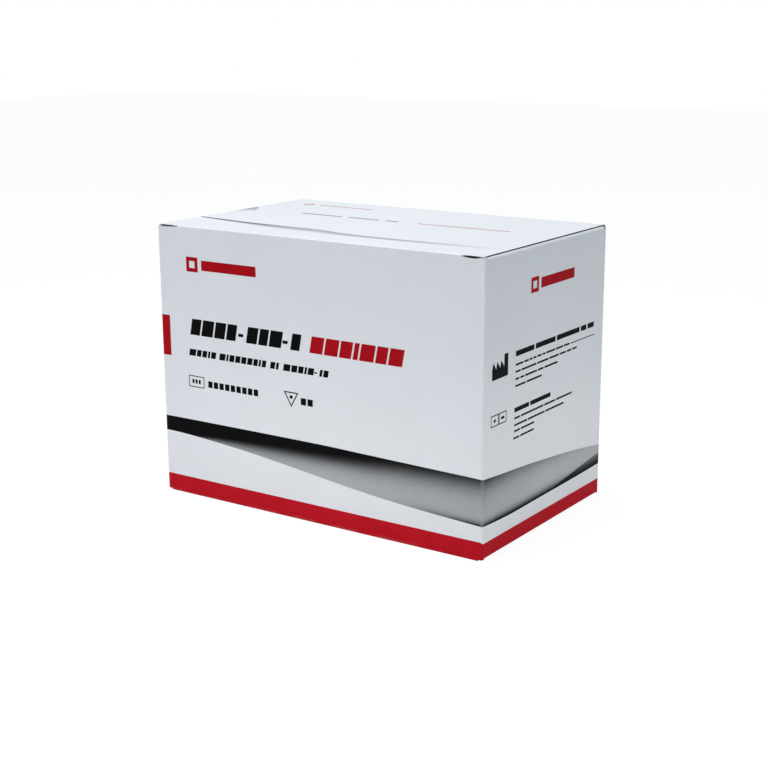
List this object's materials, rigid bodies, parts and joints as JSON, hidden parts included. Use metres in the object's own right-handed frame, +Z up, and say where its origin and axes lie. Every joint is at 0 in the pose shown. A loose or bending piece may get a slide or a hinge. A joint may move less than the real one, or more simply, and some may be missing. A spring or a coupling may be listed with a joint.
{
  "type": "folding carton",
  "caption": "Printed paperboard carton with a hinged lid whose front flap tucks in, dust flaps at both sides and a glued interlocking bottom.",
  "frame": {"origin": "centre of the carton's footprint, on the floor that it stands on", "axes": "+X along the front from left to right, +Y from the front panel to the rear panel, +Z up"},
  "size_m": [0.195, 0.12, 0.143],
  "materials": {
    "printed_board": "white carton board with a satin coating, printed in red, black and grey"
  },
  "bodies": {
    "carton": {"carton_body": "printed_board"},
    "lid": {"lid": "printed_board"}
  },
  "joints": [
    {"name": "lid_hinge", "type": "hinge", "parent": "carton", "child": "lid", "pos_m": [0, 0.05975, 0.14275], "axis": [-1, 0, 0], "range_deg": [0, 180]}
  ]
}
